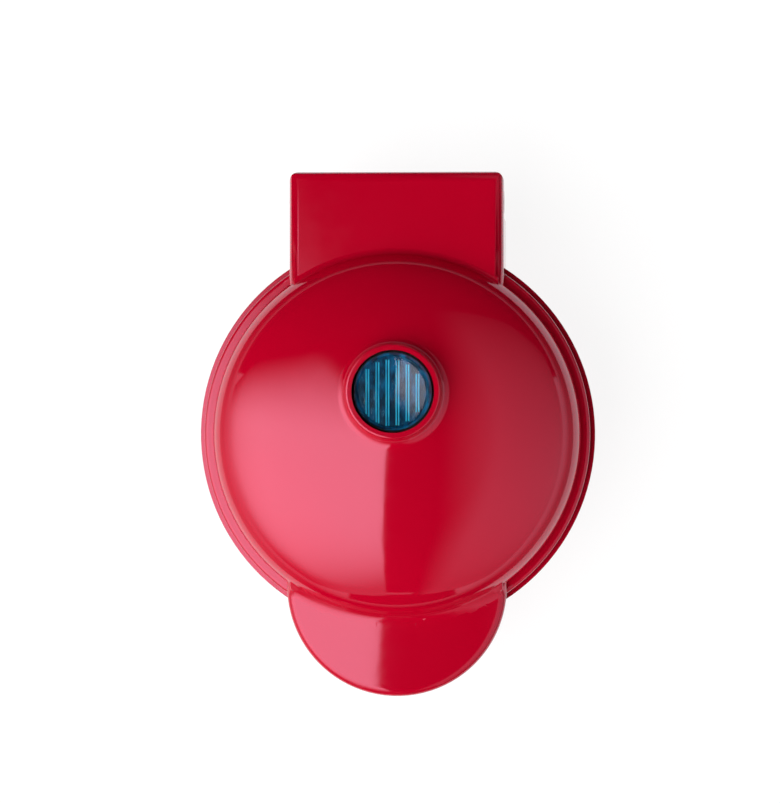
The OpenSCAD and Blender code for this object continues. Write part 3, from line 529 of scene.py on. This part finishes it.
# ---- Heaters ----------------------------------------------------------------
# Steel tubes around a filled coil, dull from annealing, with patches of straw
# and blue heat tint.

tube = steel("heater_tube", (1, 1, 1), (0.36, 0.33, 0.29), (0.22, 0.22, 0.25),
             0.36, 0.5, 0.15 * mm)
for name in ("upper_element", "lower_element"):
    dress(name, tube)


# ---- Black plastic parts ----------------------------------------------------
# Heat-proof moulded plastic with a fine matt texture from the mould: the cover
# under the handle tab, the lamp's holder, the cord gland and the cord clamp.


def matt_black(name, grain, edge):
    material = new_material(name)
    tree = material.node_tree
    spots = noise(tree, grain, 3.0)
    colour = blend(tree, noise(tree, 9 * mm), (0.022, 0.022, 0.024), (0.032, 0.032, 0.034))
    normal = bumps(tree, spots, 0.04 * mm, edge)
    shader = principled(tree, colour, between(tree, spots, 0.42, 0.6), normal)
    finished(tree, shader)
    return material


moulded_black = matt_black("moulded_black", 0.35 * mm, 0.3 * mm)
for name in ("handle_cover", "lamp_holder", "cord_gland", "cord_clamp"):
    dress(name, moulded_black)


# ---- Rubber feet ------------------------------------------------------------
# Soft moulded plugs pushed into the base from below, matt and slightly greyed
# where they stand on the table.


def coordinate(tree, axis):
    place = tree.nodes.new("ShaderNodeTexCoord")
    split = tree.nodes.new("ShaderNodeSeparateXYZ")
    tree.links.new(place.outputs["Object"], split.inputs[0])
    return split.outputs[axis]


rubber = new_material("foot_rubber")
tree = rubber.node_tree
scuff_h = 0.6 * mm
scuff = between(tree, coordinate(tree, "Z"), 0.8, 0, 0, scuff_h)
colour = blend(tree, scuff, (0.02, 0.02, 0.02), (0.075, 0.072, 0.068))
grain = noise(tree, 0.5 * mm, 4.0)
shader = principled(tree, colour, between(tree, grain, 0.7, 0.9),
                    bumps(tree, grain, 0.05 * mm, 0.4 * mm))
finished(tree, shader)
dress("rubber_feet", rubber)


# ---- Thermostat -------------------------------------------------------------
# A bimetal disc in an aluminium cap on a black phenolic body, with two tinned
# blades for the leads. The bracket is pressed in the same aluminium.

can = new_material("thermostat_can")
tree = can.node_tree
height = coordinate(tree, "Z")
cap_from, blades_to, seam_w = 21.5 * mm, 15 * mm, 0.05 * mm
is_metal = calc(tree, "MAXIMUM", between(tree, height, 0, 1, cap_from, cap_from + seam_w),
                between(tree, height, 1, 0, blades_to, blades_to + seam_w))
spots = noise(tree, 0.4 * mm, 3.0)
metal = blend(tree, spots, (0.7, 0.7, 0.71), (0.8, 0.8, 0.81))
normal = bumps(tree, spots, 0.02 * mm, 0.25 * mm)
body_part = principled(tree, blend(tree, spots, (0.03, 0.028, 0.026), (0.05, 0.046, 0.042)),
                       between(tree, spots, 0.4, 0.55), normal)
metal_part = principled(tree, metal, between(tree, spots, 0.25, 0.4), normal, Metallic=1.0)
finished(tree, mixed(tree, is_metal, body_part, metal_part))
dress("thermostat", can)


# ---- Thermal fuse and terminal block ----------------------------------------
# Both are unglazed white ceramic: the fuse a small rod with tinned leads, and
# the block a bar with two through ways and screws from above.


def ceramic(name, half_body):
    """Chalky white with faint yellowing; metal beyond half_body on X."""
    material = new_material(name)
    tree = material.node_tree
    away = calc(tree, "ABSOLUTE", coordinate(tree, "X"))
    is_lead = between(tree, away, 0, 1, half_body, half_body + seam_w)
    spots = noise(tree, 0.3 * mm, 4.0)
    colour = blend(tree, noise(tree, 6 * mm, 3.0), (0.74, 0.71, 0.64), (0.82, 0.8, 0.75))
    normal = bumps(tree, spots, 0.03 * mm, 0.3 * mm)
    chalk = principled(tree, colour, between(tree, spots, 0.6, 0.8), normal)
    tinned = principled(tree, blend(tree, spots, (0.6, 0.6, 0.6), (0.7, 0.7, 0.7)),
                        between(tree, spots, 0.25, 0.4), normal, Metallic=1.0)
    finished(tree, mixed(tree, is_lead, chalk, tinned))
    return material


fuse_half_l = 10 * mm
no_leads = 1.0      # a metre: far beyond the block's ends
dress("thermal_fuse", ceramic("fuse_ceramic", fuse_half_l))
dress("terminal_block", ceramic("block_ceramic", no_leads))


# ---- Lens -------------------------------------------------------------------
# A clear blue cap with a slightly hollow face over six pairs of moulded ribs that
# spread the lamp's light. It sits a little to the front left in the collar.

lamp_y = 13 * mm
lens_r = 11.6 * mm
face_r = 10.9 * mm
face_x, face_y = -0.75 * mm, lamp_y - 0.4 * mm
face_hollow_r = 85 * mm
lens_low, lens_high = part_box("indicator_lens")
lens_top = lens_high.z
rib_pitch, rib_offset = 3 * mm, -0.15 * mm
rib_half, rib_rise, rib_apart, rib_circle_r = 0.23 * mm, 0.5 * mm, 0.38 * mm, 9.9 * mm
rib_floor = lens_top - 1.95 * mm


def turned(bm, outline, steps):
    """Add a piece turned about the vertical axis from an outline of (radius, height)."""
    points = [bm.verts.new((r, 0, z)) for r, z in outline]
    edges = [bm.edges.new(pair) for pair in zip(points, points[1:])]
    bmesh.ops.spin(bm, geom=points + edges, axis=(0, 0, 1), cent=(0, 0, 0),
                   steps=steps, angle=2 * pi, use_merge=True)
    bmesh.ops.remove_doubles(bm, verts=bm.verts, dist=0.001 * mm)


def spun(name, outline, centre):
    bm = bmesh.new()
    turned(bm, outline, 96)
    bmesh.ops.translate(bm, verts=bm.verts, vec=centre)
    bmesh.ops.recalc_face_normals(bm, faces=bm.faces)
    return piece_of(name, bm)


def piece_of(name, bm, smooth_angle=35):
    mesh = bpy.data.meshes.new(name)
    bm.to_mesh(mesh)
    bm.free()
    mesh.shade_smooth()
    mesh.set_sharp_from_angle(angle=radians(smooth_angle))
    obj = bpy.data.objects.new(name, mesh)
    scene.collection.objects.link(obj)
    return obj


# Body of the lens: a dark blue ring with a sloping shoulder, and the barrel
body = new_material("lens_body")
tree = body.node_tree
clouds = noise(tree, 2.2 * mm, 4.0, (1, 0.4, 1))
colour = blend(tree, between(tree, clouds, 0, 1, 0.42, 0.66),
               (0.004, 0.03, 0.06), (0.0, 0.14, 0.3))
shader = principled(tree, colour, between(tree, clouds, 0.05, 0.12),
                    bumps(tree, clouds, 0.05 * mm), Coat_Weight=0.6, Coat_Roughness=0.05)
finished(tree, shader)
lens_wall = 1 * mm
lens_body = spun("lens_body", [
    (0, rib_floor), (10.4 * mm, rib_floor), (10.5 * mm, lens_top - 1.2 * mm),
    (11.0 * mm, lens_top - 0.8 * mm), (lens_r, lens_top - 1.1 * mm), (lens_r, lens_low.z),
    (lens_r - lens_wall, lens_low.z), (lens_r - lens_wall, rib_floor - lens_wall),
    (0, rib_floor - lens_wall)], (0, lamp_y, 0))
lens_body.data.materials.append(body)

# Ribs: pairs of round ridges from front to back, cut off along a circle
rib_pairs = 6
bm = bmesh.new()
for k in range(rib_pairs):
    x = (k - (rib_pairs - 1) / 2) * rib_pitch + rib_offset
    rib_l = 2 * sqrt(rib_circle_r ** 2 - (x - face_x) ** 2)
    for side in (-1, 1):
        bmesh.ops.create_cone(bm, cap_ends=True, segments=16, radius1=rib_half,
                              radius2=rib_half, depth=rib_l,
                              matrix=Matrix.Translation((x + side * rib_apart, face_y, 0))
                              @ Matrix.Rotation(pi / 2, 4, "X"))
bmesh.ops.scale(bm, vec=(1, 1, rib_rise / rib_half), verts=bm.verts)
bmesh.ops.translate(bm, vec=(0, 0, rib_floor), verts=bm.verts)
ribs = piece_of("lens_ribs", bm, 50)
rib_blue = new_material("lens_ribs")
tree = rib_blue.node_tree
streaks = noise(tree, 2.6 * mm, 3.0, (1.5, 0.35, 1))
colour = blend(tree, between(tree, streaks, 0, 1, 0.3, 0.55),
               (0.01, 0.5, 0.78), (0.06, 0.82, 1.0))
shader = principled(tree, colour, between(tree, streaks, 0.12, 0.25),
                    bumps(tree, streaks, 0.03 * mm), Specular_Tint=(0.4, 0.85, 1, 1))
finished(tree, shader)
ribs.data.materials.append(rib_blue)

# Clear cap with a slightly hollow face and a rounded edge
cap = new_material("lens_cap")
tree = cap.node_tree
through = tree.nodes.new("ShaderNodeBsdfTransparent")
through.inputs["Color"].default_value = (0.85, 0.97, 1, 1)
shine = tree.nodes.new("ShaderNodeBsdfGlossy")
shine.inputs["Roughness"].default_value = 0.06
shine.inputs["Color"].default_value = (0.9, 0.88, 1, 1)
tree.links.new(bumps(tree, noise(tree, 3 * mm, 2.0), 0.04 * mm), shine.inputs["Normal"])
fresnel = tree.nodes.new("ShaderNodeFresnel")
fresnel.inputs["IOR"].default_value = 1.46
finished(tree, mixed(tree, fresnel.outputs[0], through, shine))
face_rings, face_z, cap_foot_z = 9, lens_top - 0.75 * mm, lens_top - 1.1 * mm
hollow = []
for q in range(face_rings):
    r = face_r * q / face_rings
    hollow.append((r, face_z + r ** 2 / (2 * face_hollow_r)))
edge_z = hollow[-1][1] + 0.06 * mm
lens_cap = spun("lens_cap", hollow + [
    (face_r - 0.3 * mm, edge_z), (face_r - 0.18 * mm, edge_z + 0.1 * mm),
    (face_r - 0.07 * mm, edge_z + 0.1 * mm), (face_r, edge_z),
    (face_r, edge_z - 0.9 * mm), (face_r - 0.2 * mm, edge_z - 0.9 * mm),
    (face_r - 0.2 * mm, cap_foot_z), (0, cap_foot_z)], (face_x, face_y, 0))
lens_cap.data.materials.append(cap)
for piece in (lens_body, ribs, lens_cap):
    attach(piece, "lid")
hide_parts("indicator_lens")


# ---- Neon lamp --------------------------------------------------------------
# A small glass tube with an amber phosphor tint. Its wires are left out, like all
# the leads.

glass = new_material("lamp_glass")
tree = glass.node_tree
clouds = noise(tree, 1.5 * mm, 3.0)
colour = blend(tree, clouds, (0.9, 0.52, 0.25), (0.95, 0.8, 0.62))
shader = principled(tree, colour, between(tree, clouds, 0.03, 0.08),
                    bumps(tree, clouds, 0.02 * mm), IOR=1.5, Transmission_Weight=0.6)
finished(tree, shader)
dress("neon_lamp", glass)


# ---- Hinge pins -------------------------------------------------------------
# Turned from bright steel, with a flat head and a fine grain. They turn with the
# lid in the base's bores.

dress("hinge_pins", steel("turned_steel", (1, 1, 1), (0.74, 0.74, 0.75), (0.62, 0.62, 0.63),
                          0.16, 0.28, 0.25 * mm))


# ---- Screws -----------------------------------------------------------------
# Zinc-plated steel screws with cross-slotted heads and plain rings for threads. They
# hold the plates, the base, the thermostat, the cord clamp, the pan and the cover.

zinc = steel("zinc_plate", (1, 1, 1), (0.72, 0.72, 0.7), (0.6, 0.61, 0.63),
             0.22, 0.36, 0.12 * mm)
screw_r, root_r, thread_pitch = 1.5 * mm, 1.2 * mm, 1.1 * mm
head_r, pan_head_t, flat_head_t = 2.8 * mm, 1.8 * mm, 1.2 * mm
cross_arm, slot_half, cross_depth = 1.35 * mm, 0.35 * mm, 0.9 * mm


def screw(length, head_t):
    """One screw with its tip at the origin and its cross-slotted head on top."""
    bm = bmesh.new()
    shank = length - head_t
    turns = round(shank / thread_pitch)
    outline = [(0, 0), (root_r * 0.7, 0)]
    for k in range(turns):
        outline += [(root_r, shank * (k + 0.25) / turns), (screw_r, shank * (k + 0.75) / turns)]
    outline += [(screw_r, shank), (head_r * 0.97, shank)]
    outline += [(head_r * r, shank + head_t * z)
                for r, z in ((1, 0.25), (1, 0.45), (0.94, 0.72), (0.8, 0.93), (0.7, 1))]
    turned(bm, outline, 24)
    rim = [e for e in bm.edges if e.is_boundary]
    cross = bmesh.ops.create_grid(bm, x_segments=3, y_segments=3, size=cross_arm)["verts"]
    narrow = 3 * slot_half / cross_arm
    inner_x = [v for v in cross if abs(v.co.x) < cross_arm / 2]
    inner_y = [v for v in cross if abs(v.co.y) < cross_arm / 2]
    bmesh.ops.scale(bm, vec=(narrow, 1, 1), verts=inner_x)
    bmesh.ops.scale(bm, vec=(1, narrow, 1), verts=inner_y)
    bmesh.ops.translate(bm, vec=(0, 0, length), verts=cross)
    faces = {f for v in cross for f in v.link_faces}
    edge = [e for e in bm.edges if e.is_boundary and e not in rim]
    slots = [f for f in faces if min(abs(f.calc_center_median().x),
                                     abs(f.calc_center_median().y)) < slot_half / 2]
    bmesh.ops.bridge_loops(bm, edges=rim + edge)
    sunk = bmesh.ops.extrude_face_region(bm, geom=slots)
    bottom = [v for v in sunk["geom"] if isinstance(v, bmesh.types.BMVert)]
    bmesh.ops.scale(bm, vec=(0.75, 0.75, 1), verts=bottom)
    bmesh.ops.translate(bm, vec=(0, 0, -cross_depth), verts=bottom)
    bmesh.ops.delete(bm, geom=[f for f in slots if f.is_valid], context="FACES")
    return bm


def screws(node, body, places, heads_down, head_t=pan_head_t):
    """Screws in the places of a CAD node, each turned to its own angle."""
    low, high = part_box(node)
    bm = bmesh.new()
    for x, y in places:
        one = screw(high.z - low.z, head_t)
        own_turn = Matrix.Rotation(0.6 + 0.7 * x / mm, 3, "Z")
        bmesh.ops.rotate(one, verts=one.verts, matrix=own_turn)
        if heads_down:
            bmesh.ops.rotate(one, verts=one.verts, matrix=Matrix.Rotation(pi, 3, "X"))
        bmesh.ops.translate(one, verts=one.verts, vec=(x, y, high.z if heads_down else low.z))
        mesh = bpy.data.meshes.new("one_screw")
        one.to_mesh(mesh)
        one.free()
        bm.from_mesh(mesh)
        bpy.data.meshes.remove(mesh)
    bmesh.ops.recalc_face_normals(bm, faces=bm.faces)
    piece = piece_of(node + "_cross", bm, 40)
    piece.data.materials.append(zinc)
    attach(piece, body)
    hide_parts(node)


def on_ring(*degrees):
    return [(ring_r * cos(radians(a)), ring_r * sin(radians(a))) for a in degrees]


def pair(x, y):
    return [(-x, y), (x, y)]


ring_r = 20 * mm
thermostat_x = 12 * mm
clamp_x, clamp_y = 9.5 * mm, 59 * mm
cover_x, cover_y = 15 * mm, -65.64 * mm
pan_front_y, pan_rear_x, pan_rear_y = -62 * mm, 18 * mm, 59 * mm
screws("base_screws", "base", on_ring(90, 210, 330), True)
screws("lower_plate_screws", "base", on_ring(30, 150, 270), True)
screws("upper_plate_screws", "lid", on_ring(30, 150, 270), False)
screws("thermostat_screws", "base", pair(thermostat_x, 0), True)
screws("cord_clamp_screws", "base", pair(clamp_x, clamp_y), False)
screws("handle_cover_screws", "lid", pair(cover_x, cover_y), True, flat_head_t)
screws("upper_pan_screws", "lid", [(0, pan_front_y), *pair(pan_rear_x, pan_rear_y)], True,
       flat_head_t)
